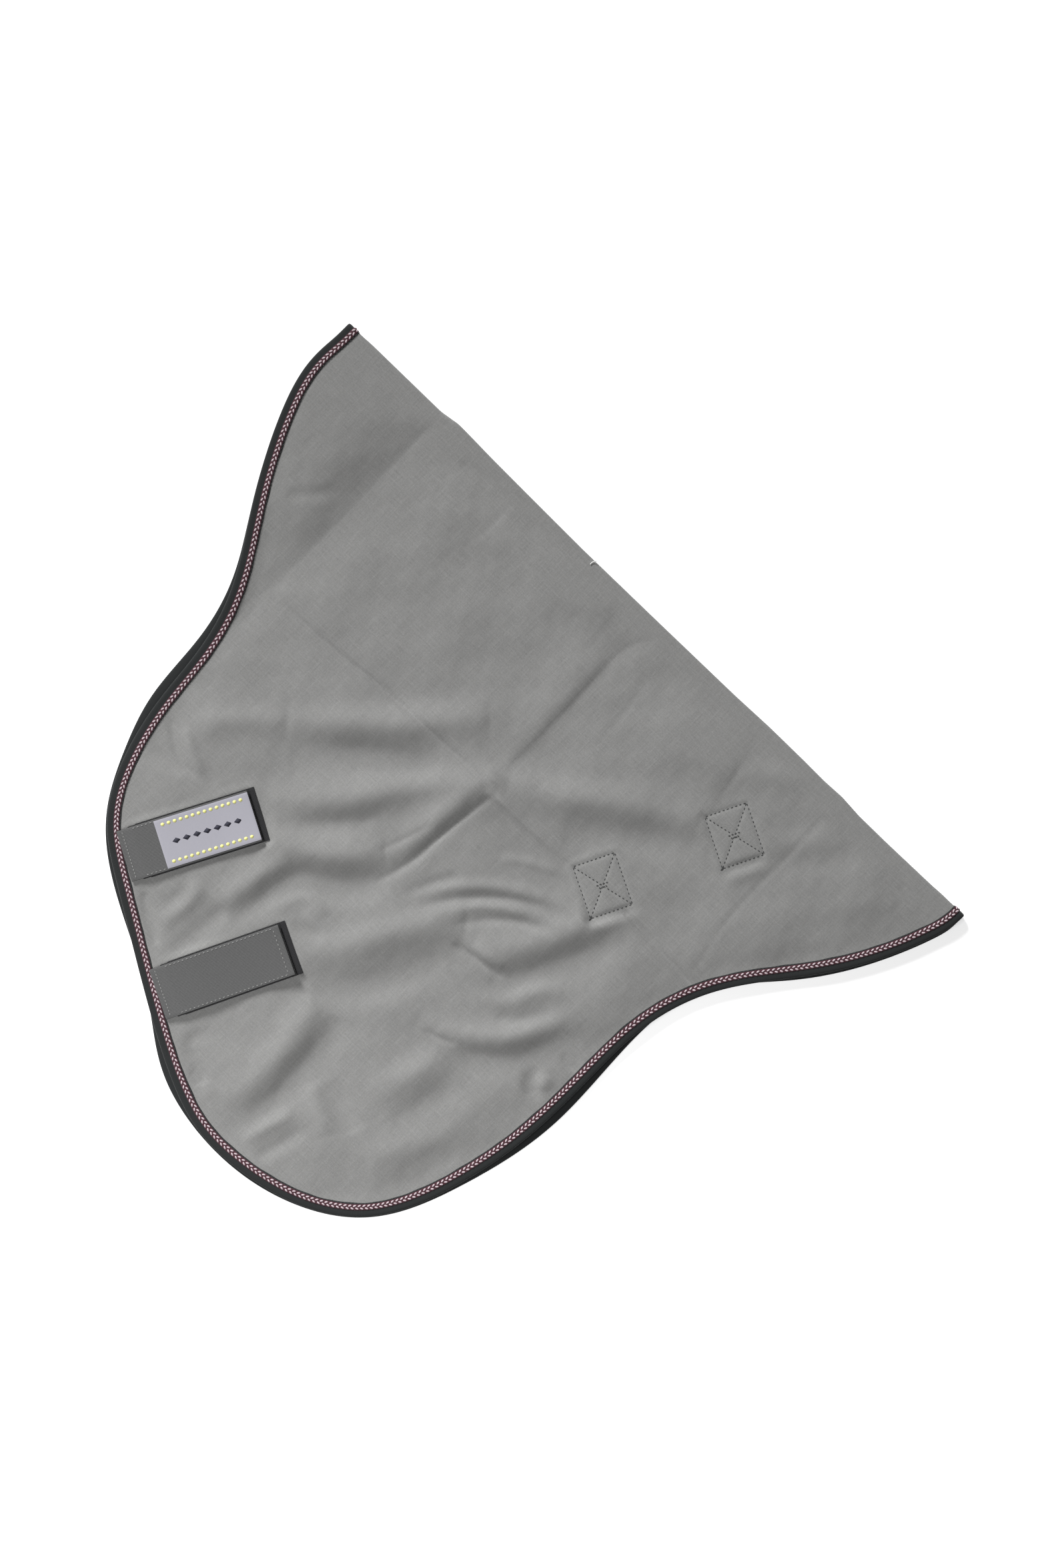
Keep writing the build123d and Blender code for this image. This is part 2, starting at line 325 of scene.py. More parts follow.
def in_frame(place, turn, x, y):
    """A point of the cut, seen from a place on it, with its first axis turned from the crest."""
    dx = x - (CREST_START + place[0] * MM)
    dy = y - (CREST_Y - place[1] * MM)
    return dx * math.cos(turn) + dy * math.sin(turn), -dx * math.sin(turn) + dy * math.cos(turn)


def on_cut(place, turn, a, b):
    """The way back: the frame's x and y of a point that is given from a place on the cut."""
    x = CREST_START + place[0] * MM + a * math.cos(turn) - b * math.sin(turn)
    y = CREST_Y - place[1] * MM + a * math.sin(turn) + b * math.cos(turn)
    return x, y


grid_x = np.arange(cad_lo.x - 6 * MM, cad_hi.x + 6 * MM, CELL)
grid_v = np.arange(0, CREST_Y - cad_lo.y + 8 * MM, CELL)
GX, GV = np.meshgrid(grid_x, grid_v, indexing="ij")
GY = CREST_Y - GV

fold_height = np.zeros_like(GX)
for height, width, points, *crease in FOLDS:
    line = flowing(points) * MM
    line[:, 0] += CREST_START
    far_off = 4 * np.max(width) * MM
    near_x = (GX[:, 0] > line[:, 0].min() - far_off) & (GX[:, 0] < line[:, 0].max() + far_off)
    near_v = (GV[0] > line[:, 1].min() - far_off) & (GV[0] < line[:, 1].max() + far_off)
    window = np.ix_(near_x, near_v)
    px, pv = GX[window], GV[window]
    best = np.full(px.shape, 1e9)
    share = np.zeros_like(px)
    turned = np.zeros_like(px)
    for k, (a, b) in enumerate(zip(line[:-1], line[1:])):
        d = b - a
        u = np.clip(((px - a[0]) * d[0] + (pv - a[1]) * d[1]) / (d @ d), 0, 1)
        gap = np.hypot(px - a[0] - u * d[0], pv - a[1] - u * d[1])
        closer = gap < best
        best = np.where(closer, gap, best)
        turned = np.where(closer, d[0] * (pv - a[1]) - d[1] * (px - a[0]), turned)
        share = np.where(closer, (k + u) / (len(line) - 1), share)
    body = np.sin(np.pi * np.clip(share, 0.02, 0.98)) ** 0.7
    left, right = width if isinstance(width, tuple) else (width, width)
    reach = best / (np.where(turned > 0, left, right) * MM)
    ridge = np.exp(-reach) / (1 + 0.15 * reach**2) if crease else np.exp(-0.5 * reach**2)
    fold_height[window] += FOLD_GAIN * height * MM * body * ridge
print("heights of the folds, mm:", round(fold_height.min() / MM, 2), "to", round(fold_height.max() / MM, 2))

# %% [markdown]
# Between its folds the cloth isn't level either, so a few long, low waves are added. All of it is eased
# out where the cloth is held: near the edge, at the crest, under the tabs and in the boxes of stitches,
# which pull it down.

# %% Where the cloth is held
COARSE = 5
DEEPEST = 3.8 * MM
BOX_HALF = (26 * MM, 21 * MM)
slack = np.zeros_like(GX)
for angle, length, size, start in (
    (20, 95, 0.45, 0.3), (74, 71, 0.4, 1.9), (128, 118, 0.5, 4.0), (163, 57, 0.26, 2.2),
    (41, 31, 0.09, 0.8), (102, 24, 0.07, 3.1), (149, 19, 0.05, 5.2), (8, 15, 0.035, 1.1),
):
    a = math.radians(angle)
    slack += size * MM * np.sin(2 * np.pi * (GX * math.cos(a) + GV * math.sin(a)) / (length * MM) + start)


def gap_to(points, line):
    """How far each point is from the nearest point of a line, a part of the line at a time."""
    nearest = np.full(len(points), 1e9)
    for part in np.array_split(line, 24):
        gaps = np.hypot(points[:, None, 0] - part[None, :, 0], points[:, None, 1] - part[None, :, 1])
        nearest = np.minimum(nearest, gaps.min(axis=1))
    return nearest


def sampled(field, x, v, cell=CELL):
    """A field of the near side at any point, read between the cells of its grid."""
    i = np.clip((x - grid_x[0]) / cell, 0, field.shape[0] - 1.001)
    j = np.clip((v - grid_v[0]) / cell, 0, field.shape[1] - 1.001)
    i0, j0 = i.astype(int), j.astype(int)
    u, w = i - i0, j - j0
    low = field[i0, j0] * (1 - u) + field[i0 + 1, j0] * u
    high = field[i0, j0 + 1] * (1 - u) + field[i0 + 1, j0 + 1] * u
    return low * (1 - w) + high * w


def beyond(a, b, half_long, half_wide):
    """How far a point is outside a box about the middle."""
    return np.hypot(np.clip(np.abs(a) - half_long, 0, None), np.clip(np.abs(b) - half_wide, 0, None))


coarse = (slice(None, None, COARSE), slice(None, None, COARSE))
flat_points = np.stack([GX[coarse].ravel(), (GV[coarse] + HALF_TURN).ravel()], axis=1)
near_gap = gap_to(flat_points, edge[edge[:, 1] > 0]).reshape(GX[coarse].shape)
far_gap = gap_to(flat_points * (1, -1), edge[edge[:, 1] < 0]).reshape(GX[coarse].shape)
to_edge = sampled(near_gap, GX, GV, COARSE * CELL)
held = 0.45 + 0.55 * rise(to_edge, 6 * MM, 24 * MM)
pressed = np.zeros_like(GX)
for place, turn in TABS.values():
    a, b = in_frame(place, math.radians(turn), GX, GY)
    pressed = np.maximum(pressed, 1 - rise(beyond(a - 66 * MM, b, 68 * MM, 25 * MM), 1 * MM, 9 * MM))
for place in STRAPS.values():
    a, b = in_frame(place, STRAP_TURN, GX, GY)
    pressed = np.maximum(pressed, 0.75 * (1 - rise(beyond(a, b, 26 * MM, 20 * MM), 0, 10 * MM)))
lift = (fold_height + slack) * (1 - pressed) + 0.5 * MM * pressed
lift = np.where(lift < 0, -DEEPEST * np.tanh(-lift / DEEPEST), lift)
for place in STRAPS.values():
    a, b = in_frame(place, STRAP_TURN, GX, GY)
    e, f = BOX_HALF
    at_side = np.minimum(np.hypot(np.abs(a) - e, np.clip(np.abs(b) - f, 0, None)),
                         np.hypot(np.abs(b) - f, np.clip(np.abs(a) - e, 0, None)))
    cross = np.abs(np.abs(b) - np.abs(a) * f / e) * math.cos(math.atan2(f, e))
    within = (np.abs(a) < e) & (np.abs(b) < f)
    lift = lift - 0.8 * MM * np.exp(-at_side / (1.7 * MM))
    lift = lift - np.where(within, 0.55 * MM * np.exp(-cross / (1.7 * MM)), 0)
    below = np.exp(-0.5 * ((a - 30 * MM) / (3.2 * MM)) ** 2) * (1 - rise(np.abs(b), 12 * MM, 30 * MM))
    beside = np.exp(-0.5 * ((a - 38 * MM) / (4.5 * MM)) ** 2) * (1 - rise(np.abs(b), 10 * MM, 30 * MM))
    lift = lift - 1.3 * MM * below + 0.9 * MM * beside
lift = lift * held * rise(GV, 2 * MM, 30 * MM)
print("lift where it is held, mm:", round(lift.min() / MM, 2), "to", round(lift.max() / MM, 2))

# %% [markdown]
# The outer face is this lift on a gentle swell that rises towards the poll. Whatever stands high near
# the crest would go through the table when the side is opened out, so a limit holds it down. The under
# layer follows the lowest height around each place, so that it stays behind the outer face on every
# slope.

# %% The near side's outer face and its under layer
CLOTH_THICK, LEAST_THICK = 0.5 * MM, 0.35 * MM
SIDE_TOP, LOWEST_TOP = 8.4 * MM, 6.3 * MM
SWELL, EDGE_DIP, POLL_LIFT = 2.1 * MM, 0.8 * MM, 8.6 * MM
POLL_CREASE = CREST_START + 116 * MM
OPEN_ROOM, OPEN_SLOPE, OPEN_EASING = 9.2 * MM, 0.085, 0.8 * MM
AROUND = 5
base = SIDE_TOP + SWELL * rise(to_edge, 12 * MM, 60 * MM) * rise(GV, 6 * MM, 50 * MM)
base -= EDGE_DIP * (1 - rise(to_edge, 6 * MM, 34 * MM)) * rise(GV, 3 * MM, 30 * MM)
base += POLL_LIFT * rise(POLL_CREASE - GX, 0, 150 * MM) ** 0.6 * rise(GV, 4 * MM, 50 * MM)
near_top = np.maximum(base + lift, LOWEST_TOP)
limit = OPEN_ROOM + OPEN_SLOPE * GV
near_top = 0.5 * (near_top + limit - np.hypot(near_top - limit, OPEN_EASING))
slope_x, slope_v = np.gradient(near_top, CELL, CELL)
lining = near_top - CLOTH_THICK
padded = np.pad(near_top, AROUND, mode="edge")
for i in range(2 * AROUND + 1):
    for j in range(2 * AROUND + 1):
        lining = np.minimum(lining, padded[i:i + len(grid_x), j:j + len(grid_v)] - LEAST_THICK)
free = rise(to_edge, 15 * MM, 19 * MM) * rise(GV, 1 * MM, 8 * MM)
lining = lining * free + (near_top - CLOTH_THICK) * (1 - free)
print("near side's outer face, mm:", round(near_top.min() / MM, 2), "to", round(near_top.max() / MM, 2))

# %% [markdown]
# Folding. The crest of a real cover is only a bend in the cloth, so the fold is a half turn of 3.9 mm
# radius between two faces. A point of the cut also has a height above the outer face, which is how the
# braid, the tabs and the stitches stay on top of the cloth and the straps under it wherever it goes.

# %% The fold
FAR_FACE = 0.6 * MM
FAR_TRIM = 1.3 * MM
CREST_BUMPS = [(0, 0), (112, 0), (132, 3.0), (142, 2.8), (180, 1.5), (230, 0.6), (300, -0.5), (400, -0.2),
               (500, 0.4), (545, 1.6), (590, 1.5), (618, 1.0), (640, 1.9), (664, 0.1), (700, 0), (760, 0.8),
               (790, 2.2), (810, 1.6), (830, 0)]
bump_x = np.array([p[0] for p in CREST_BUMPS]) * MM + CREST_START
bump_y = np.array([p[1] for p in CREST_BUMPS]) * MM


def folded(x, t, h):
    """Where a point of the flat cut goes when the cover is folded."""
    x, t, h = (np.array(v, float) for v in np.broadcast_arrays(x, t, h))
    bump = np.interp(x, bump_x, bump_y) * (1 - rise(np.abs(t), 8 * MM, 60 * MM))
    v = np.clip(t - HALF_TURN, 0, None)
    top = sampled(near_top, x, v)
    sx, sv = sampled(slope_x, x, v), sampled(slope_v, x, v)
    scale = 1 / np.sqrt(1 + sx**2 + sv**2)
    near = np.stack([x - h * sx * scale, CREST_Y - v + h * sv * scale, top + h * scale], axis=-1)
    w = np.clip(-t - HALF_TURN, 0, None)
    trim = FAR_TRIM * (1 - rise(sampled(far_gap, x, w, COARSE * CELL), 14 * MM, 32 * MM))
    a = np.clip(t / TURN_RADIUS, -math.pi / 2, math.pi / 2)
    r = TURN_RADIUS - trim / 2 + h
    bend = np.stack([x, CREST_Y + r * np.cos(a), TURN_MIDDLE + trim / 2 + r * np.sin(a)], axis=-1)
    far = np.stack([x, CREST_Y - w, FAR_FACE + trim - h], axis=-1)
    out = np.where((t > HALF_TURN)[..., None], near, np.where((t < -HALF_TURN)[..., None], far, bend))
    out[..., 1] += bump
    return out


def side_t(y, side):
    """Across the cut, for a point below the crest on one side."""
    t = HALF_TURN + CREST_Y - np.asarray(y, float)
    return t if side == "near" else -t


print("crest at y", round(CREST_Y, 4), "m, half of the turn", round(HALF_TURN / MM, 2), "mm")

# %% [markdown]
# Finishes are drawn by nodes. Each cloth reads its own flat coordinates, in metres, so that its grain
# follows the cut. A few helpers make what all need: ribs, an uneven grain, a colour that they tint, and
# a shallow relief.

# %% What the cloths' finishes are made of
def calc(tree, kind, a, b=0.0):
    """One arithmetic node."""
    node = tree.nodes.new("ShaderNodeMath")
    node.operation = kind
    for slot, value in zip(node.inputs, (a, b)):
        if isinstance(value, (int, float)):
            slot.default_value = value
        else:
            tree.links.new(value, slot)
    return node.outputs[0]


def cloth_material(name, colour, rough, sheen=0.0):
    """A cloth material with its tree, skin and the two flat coordinates."""
    made = bpy.data.materials.new(name)
    made.use_nodes = True
    tree = made.node_tree
    skin = tree.nodes["Principled BSDF"]
    skin.inputs["Base Color"].default_value = (*colour, 1)
    skin.inputs["Roughness"].default_value = rough
    skin.inputs["Specular IOR Level"].default_value = 0.25
    skin.inputs["Sheen Weight"].default_value = sheen
    skin.inputs["Sheen Roughness"].default_value = 0.5
    cut = tree.nodes.new("ShaderNodeUVMap")
    cut.uv_map = "cut"
    split = tree.nodes.new("ShaderNodeSeparateXYZ")
    tree.links.new(cut.outputs[0], split.inputs[0])
    return made, tree, skin, cut.outputs[0], split.outputs[0], split.outputs[1]


def ribs(tree, coordinate, pitch, sharp=1.0):
    """Ribs across a coordinate, from 0 to 1."""
    wave = calc(tree, "SINE", calc(tree, "MULTIPLY", coordinate, 2 * math.pi / pitch))
    half = calc(tree, "MULTIPLY", calc(tree, "ADD", wave, 1.0), 0.5)
    return calc(tree, "POWER", half, sharp)


def grain(tree, vector, scale, detail=2.0, stretch=None):
    """Even cloudiness, from 0 to 1."""
    if stretch:
        turn = tree.nodes.new("ShaderNodeMapping")
        turn.inputs["Scale"].default_value = (*stretch, 1)
        tree.links.new(vector, turn.inputs["Vector"])
        vector = turn.outputs[0]
    noise = tree.nodes.new("ShaderNodeTexNoise")
    noise.inputs["Scale"].default_value = scale
    noise.inputs["Detail"].default_value = detail
    tree.links.new(vector, noise.inputs["Vector"])
    return noise.outputs[0]


def tinted(tree, skin, colour, share):
    """Colour made lighter and darker by a share around one."""
    tone = tree.nodes.new("ShaderNodeMix")
    tone.data_type = "RGBA"
    tone.blend_type = "MULTIPLY"
    tone.inputs["Factor"].default_value = 1.0
    tone.inputs[6].default_value = (*colour, 1)
    grey = tree.nodes.new("ShaderNodeCombineColor")
    for slot in grey.inputs:
        tree.links.new(share, slot)
    tree.links.new(grey.outputs[0], tone.inputs[7])
    tree.links.new(tone.outputs[2], skin.inputs["Base Color"])


def bumped(tree, skin, height, depth, strength=1.0):
    """Surface relief of a depth in metres."""
    bump = tree.nodes.new("ShaderNodeBump")
    bump.inputs["Strength"].default_value = strength
    bump.inputs["Distance"].default_value = depth
    tree.links.new(height, bump.inputs["Height"])
    tree.links.new(bump.outputs[0], skin.inputs["Normal"])


print("node helpers: calc, ribs, grain, tinted, bumped")

# %% [markdown]
# Ripstop is a plain weave with a thicker thread every few millimetres, which gives the fine grid. Its
# threads are uneven both ways, so two stretched grains are laid over each other.

# %% Ripstop
RIPSTOP = (0.213, 0.2125, 0.208)
ripstop, tree, skin, cut, u, v = cloth_material("ripstop", RIPSTOP, 0.72, 0.05)
threads = calc(tree, "ADD", ribs(tree, u, 0.62 * MM), ribs(tree, v, 0.62 * MM))
grid = calc(tree, "ADD", ribs(tree, u, 9.8 * MM, 60), ribs(tree, v, 9.8 * MM, 60))
fine = calc(tree, "ADD", ribs(tree, u, 4.9 * MM, 50), ribs(tree, v, 4.9 * MM, 50))
lines = calc(tree, "ADD", grid, calc(tree, "MULTIPLY", fine, 0.5))
broken = calc(tree, "MULTIPLY", lines, grain(tree, cut, 260, 3))
warp = grain(tree, cut, 1, 3, (900, 60))
weft = grain(tree, cut, 1, 3, (60, 900))
slub = calc(tree, "MULTIPLY", calc(tree, "SUBTRACT", calc(tree, "ADD", warp, weft), 1.0), 0.30)
cloud = calc(tree, "MULTIPLY", calc(tree, "SUBTRACT", grain(tree, cut, 9, 3), 0.5), 0.10)
speck = calc(tree, "MULTIPLY", calc(tree, "SUBTRACT", grain(tree, cut, 650, 2), 0.5), 0.42)
tone = calc(tree, "ADD", calc(tree, "ADD", 1.0, slub), calc(tree, "ADD", cloud, speck))
tone = calc(tree, "ADD", tone, calc(tree, "MULTIPLY", broken, 0.10))
tinted(tree, skin, RIPSTOP, calc(tree, "ADD", tone, calc(tree, "MULTIPLY", threads, 0.03)))
bumped(tree, skin, calc(tree, "ADD", threads, calc(tree, "MULTIPLY", broken, 1.6)), 0.05 * MM, 0.7)
print("ripstop:", len(tree.nodes), "nodes")

# %% [markdown]
# Tapes are woven close, with ribs across their length. Webbing has its ribs along it, and the label's
# are finer.

# %% Tapes
def tape_material(name, colour, pitch, rough, tint=0.35, depth=0.12, across=True):
    """Woven tape with ribs across its length."""
    made, tree, skin, cut, u, v = cloth_material(name, colour, rough, 0.1)
    rib = ribs(tree, u if across else v, pitch)
    yarns = ribs(tree, v if across else u, pitch * 0.6)
    worn = grain(tree, cut, 420, 3)
    tone = calc(tree, "ADD", 1.0 - tint / 2, calc(tree, "MULTIPLY", rib, tint * 0.6))
    tone = calc(tree, "ADD", tone, calc(tree, "MULTIPLY", worn, tint * 0.5))
    tinted(tree, skin, colour, tone)
    bumped(tree, skin, calc(tree, "ADD", rib, calc(tree, "MULTIPLY", yarns, 0.4)), depth * MM, 0.8)
    return made


binding_black = tape_material("binding black", (0.0155, 0.0172, 0.0175), 1.1 * MM, 0.8)
webbing_grey = tape_material("webbing grey", (0.093, 0.093, 0.093), 1.3 * MM, 0.75, 0.45, 0.14, False)
label_lavender = tape_material("label lavender", (0.34, 0.335, 0.375), 0.5 * MM, 0.6, 0.10, 0.03)
braid_burgundy = tape_material("braid burgundy", (0.062, 0.022, 0.030), 1.6 * MM, 0.8)
print("tapes: binding, webbing, label, braid")

# %% [markdown]
# Yarn and thread are many short pieces with no cut to follow, so their worn look is drawn from the
# object's own coordinates. Hook tape is a field of stiff points, and loop tape a felted nap: the same
# rows, closer and softer.

# %% Yarns, hook tape and loop tape
def plain_yarn(name, colour):
    """Slightly worn yarn."""
    made = bpy.data.materials.new(name)
    made.use_nodes = True
    tree = made.node_tree
    skin = tree.nodes["Principled BSDF"]
    skin.inputs["Roughness"].default_value = 0.75
    skin.inputs["Specular IOR Level"].default_value = 0.25
    place = tree.nodes.new("ShaderNodeTexCoord")
    worn = grain(tree, place.outputs["Object"], 700, 2)
    tinted(tree, skin, colour, calc(tree, "ADD", 0.8, calc(tree, "MULTIPLY", worn, 0.4)))
    bumped(tree, skin, worn, 0.1 * MM, 0.5)
    return made


braid_pink = plain_yarn("braid pink", (0.50, 0.415, 0.44))
thread_dark = plain_yarn("thread dark", (0.060, 0.061, 0.062))
thread_grey = plain_yarn("thread grey", (0.24, 0.24, 0.235))
thread_white = plain_yarn("thread white", (0.85, 0.85, 0.83))
dot_yellow = plain_yarn("dot yellow", (0.80, 0.78, 0.30))
mark_dark = plain_yarn("mark dark", (0.035, 0.035, 0.05))


def gripping(name, colour, pitch, depth, rough):
    """Hook or loop tape: rows of points or tufts."""
    made, tree, skin, cut, u, v = cloth_material(name, colour, rough, 0.25)
    rows = calc(tree, "MULTIPLY", ribs(tree, u, pitch, 2), ribs(tree, v, pitch, 2))
    fuzz = grain(tree, cut, 900, 3)
    tone = calc(tree, "ADD", 0.6, calc(tree, "MULTIPLY", calc(tree, "ADD", rows, fuzz), 0.5))
    tinted(tree, skin, colour, tone)
    bumped(tree, skin, calc(tree, "ADD", rows, fuzz), depth * MM, 1.0)
    return made


hook_black = gripping("hook tape", (0.016, 0.016, 0.017), 1.5 * MM, 0.5, 0.55)
loop_black = gripping("loop tape", (0.020, 0.020, 0.022), 0.8 * MM, 0.35, 0.9)
print("materials:", len(bpy.data.materials))

# %% [markdown]
# The cloth itself. One cut of ripstop, drawn half a millimetre thick, is meshed flat inside its outline
# with a closer net on the near side, where the folds are, and along the crest, where it bends. First
# come the helpers that make a net, turn points and faces into an object, and put a piece that runs over
# the crest in place of the frame's parts.


def inside(points, loop):
    """Which points lie inside a closed line."""
    result = np.zeros(len(points), bool)
    for a, b in zip(loop, np.roll(loop, -1, axis=0)):
        crosses = (a[1] > points[:, 1]) != (b[1] > points[:, 1])
        if a[1] != b[1]:
            at = (b[0] - a[0]) * (points[:, 1] - a[1]) / (b[1] - a[1]) + a[0]
            result ^= crosses & (points[:, 0] < at)
    return result


def net(x_from, x_to, t_from, t_to, step):
    """Points of a triangular net."""
    rows = np.arange(t_from, t_to, step * 0.866)
    found = []
    for k, t in enumerate(rows):
        x = np.arange(x_from + (k % 2) * step / 2, x_to, step)
        found.append(np.stack([x, np.full_like(x, t)], axis=1))
    return np.concatenate(found)


def mesh_object(name, points, faces, flat, material, corners=None):
    """An object from points and faces, with its flat coordinates as the UV map 'cut'."""
    mesh = bpy.data.meshes.new(name)
    mesh.from_pydata(points.tolist(), [], faces)
    mesh.update()
    layer = mesh.uv_layers.new(name="cut")
    if corners is None:
        index = np.zeros(len(mesh.loops), int)
        mesh.loops.foreach_get("vertex_index", index)
        corners = flat[index]
    layer.data.foreach_set("uv", np.asarray(corners, np.float32).ravel())
    made = bpy.data.objects.new(name, mesh)
    bpy.context.scene.collection.objects.link(made)
    made.data.materials.append(material)
    made.data.shade_smooth()
    return made


def over_crest(piece, *nodes):
    """A piece that runs over the crest: its transform goes into its points, and the nodes of both sides that
    it stands for are hidden.
    """
    if nodes:
        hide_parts(*nodes)
    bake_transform(piece)


# %% [markdown]
# The cut is meshed once for each face of the cloth. Both nets share the points of the hem, where a rim
# joins them. They are closest around the boxes of stitches, and the bend at the crest gets its own
# straight rows.

# %% The two nets
HEM_INSET, HEM_STEP = 0.9 * MM, 3.2 * MM
near_step = 2.6 * MM
under_step = 5.5 * MM
far_step = 9 * MM
hem = np.concatenate([edge, edge[:1]]) + np.concatenate([inward, inward[:1]]) * HEM_INSET
hem = spaced(hem, HEM_STEP)[:-1]
x_lo, x_hi = hem[:, 0].min(), hem[:, 0].max()
turn_rows = [HALF_TURN * part for part in (-1, -0.66, -0.33, 0, 0.33, 0.66, 1)]
crest_x = np.arange(x_lo, x_hi, 4 * MM)
bend_net = np.concatenate([np.stack([crest_x, np.full_like(crest_x, t)], axis=1) for t in turn_rows])


def meshed(near_net, far_net):
    """The flat cut as triangles, all facing outwards; the hem's points come first."""
    inner = np.concatenate([
        net(x_lo, x_hi, HALF_TURN + near_net * 0.7, hem[:, 1].max(), near_net),
        net(x_lo, x_hi, hem[:, 1].min(), -HALF_TURN - far_net * 0.6, far_net),
        bend_net,
    ])
    for place in STRAPS.values():
        a, b = in_frame(place, STRAP_TURN, inner[:, 0], CREST_Y + HALF_TURN - inner[:, 1])
        inner = inner[(np.abs(a) > 36 * MM) | (np.abs(b) > 31 * MM) | (inner[:, 1] < 0)]
        patch = net(-35 * MM, 35 * MM, -30 * MM, 30 * MM, near_net * 0.55)
        x, y = on_cut(place, STRAP_TURN, patch[:, 0], patch[:, 1])
        inner = np.concatenate([inner, np.stack([x, side_t(y, "near")], axis=1)])
    inner = inner[inside(inner, hem)]
    corners = np.concatenate([hem, inner[gap_to(inner, hem) > 1.7 * MM]])
    ring = list(range(len(hem)))
    made = delaunay_2d_cdt([tuple(p) for p in corners], [], [ring], 1, 1e-7)
    flat = np.array([tuple(p) for p in made[0]])
    faces = np.array([f for f in made[2] if len(f) == 3])
    a, b, c = flat[faces[:, 0]], flat[faces[:, 1]], flat[faces[:, 2]]
    area = 0.5 * ((b[:, 0] - a[:, 0]) * (c[:, 1] - a[:, 1]) - (b[:, 1] - a[:, 1]) * (c[:, 0] - a[:, 0]))
    faces[area > 0] = faces[area > 0][:, ::-1]
    return flat, faces, float(np.abs(area).sum())


flat, faces, cut_area = meshed(near_step, far_step)
flat_in, faces_in, _ = meshed(under_step, far_step)
print("flat cut:", len(flat), "points,", len(faces), "faces, area", round(cut_area, 4), "m2")

# %% [markdown]
# Both nets are folded, the under one a cloth's thickness below, and joined into one closed piece.

# %% The folded sheet
outer = folded(flat[:, 0], flat[:, 1], 0)
under = folded(flat_in[:, 0], flat_in[:, 1], -CLOTH_THICK)
near_in = flat_in[:, 1] > HALF_TURN
under[near_in, 2] = np.minimum(under[near_in, 2],
                               sampled(lining, flat_in[near_in, 0], flat_in[near_in, 1] - HALF_TURN))
count, hems = len(flat), len(hem)
assert np.allclose(flat[:hems], hem, atol=1e-6) and np.allclose(flat_in[:hems], hem, atol=1e-6)
rim = []
for i in range(hems):
    j = (i + 1) % hems
    rim.append((i, j, count + j, count + i))
every = faces.tolist() + (faces_in[:, ::-1] + count).tolist() + rim
both_flat = np.concatenate([flat, flat_in])
cloth = mesh_object("fly_cloth", np.concatenate([outer, under]), every, both_flat, ripstop)
over_crest(cloth, "near_shell", "far_shell")

# %% [markdown]
# The binding is one length of black tape, folded over the raw edge and sewn through. It is swept along
# the edge as a thin band that goes round the edge and back, so that it has a fold outside and two free
# edges inside.

# %% The binding
BAND = np.array([
    # inwards from the edge, height above the outer face, mm
    (13.4, 0.12), (13.3, 0.42), (12.7, 0.56), (9.6, 0.6), (6.2, 0.68), (3.4, 0.86), (1.5, 0.74),
    (0.45, 0.36), (0.05, -0.25), (0.45, -0.86), (1.5, -1.2), (4.0, -1.25), (9.0, -1.12), (12.6, -1.08),
    (13.3, -0.98), (13.4, -0.7), (12.8, -0.58), (1.6, -0.56), (1.2, -0.25), (1.6, 0.04), (12.8, 0.06),
]) * MM


def banded(name, profile, material, sway=None):
    """A band with a closed profile, swept once round the raw edge."""
    n, m = len(edge), len(profile)
    w = np.repeat(profile[None, :, 0], n, axis=0)
    h = np.repeat(profile[None, :, 1], n, axis=0)
    if sway is not None:
        w = w + sway[:, None] * (w > 2 * MM)
    place = edge[:, None, :] + inward[:, None, :] * w[..., None]
    points = folded(place[..., 0], place[..., 1], h).reshape(-1, 3)
    girth = np.r_[0, np.cumsum(np.hypot(*np.diff(np.concatenate([profile, profile[:1]]), axis=0).T))]
    faces, uv = [], []
    for i in range(n):
        j = (i + 1) % n
        for k in range(m):
            up = (k + 1) % m
            faces.append((i * m + k, i * m + up, j * m + up, j * m + k))
            uv.append(((edge_run[i], girth[k]), (edge_run[i], girth[k + 1]),
                       (edge_run[i + 1], girth[k + 1]), (edge_run[i + 1], girth[k])))
    return mesh_object(name, points, faces, None, material, np.array(uv))


def ripple(seed, lengths, size):
    """A small unevenness along the edge that closes on itself."""
    out = np.zeros(len(edge))
    for k, length in enumerate(lengths):
        turns = round(edge_length / (length * MM))
        out += size * MM * np.sin(2 * np.pi * turns * edge_run[:-1] / edge_length + seed * 1.7 + k * 2.3)
    return out


binding = banded("edge_binding", BAND, binding_black, ripple(1, (41, 67, 23), 0.12))
over_crest(binding, "near_binding", "far_binding")
print("binding", round(edge_length, 2), "m,", len(binding.data.polygons), "faces")

# %% [markdown]
# The braid is a narrow burgundy tape with two rows of pale yarn lying slantwise on it, sewn along the
# middle of the binding. One stitch of yarn is a small stretched ball; the rows are made by repeating it
# along the edge. Blender gives a ball's points and faces in a new order on each run, so they are sorted
# before they are repeated, and every run makes the same mesh.

# %% The braid
BRAID = np.array([
    (12.1, 0.55), (12.0, 0.95), (11.4, 1.12), (9.2, 1.16),
    (7.0, 1.12), (6.4, 0.95), (6.3, 0.6), (9.2, 0.55),
]) * MM
ribbon = banded("braid_tape", BRAID, braid_burgundy)
over_crest(ribbon, "near_braid", "far_braid")


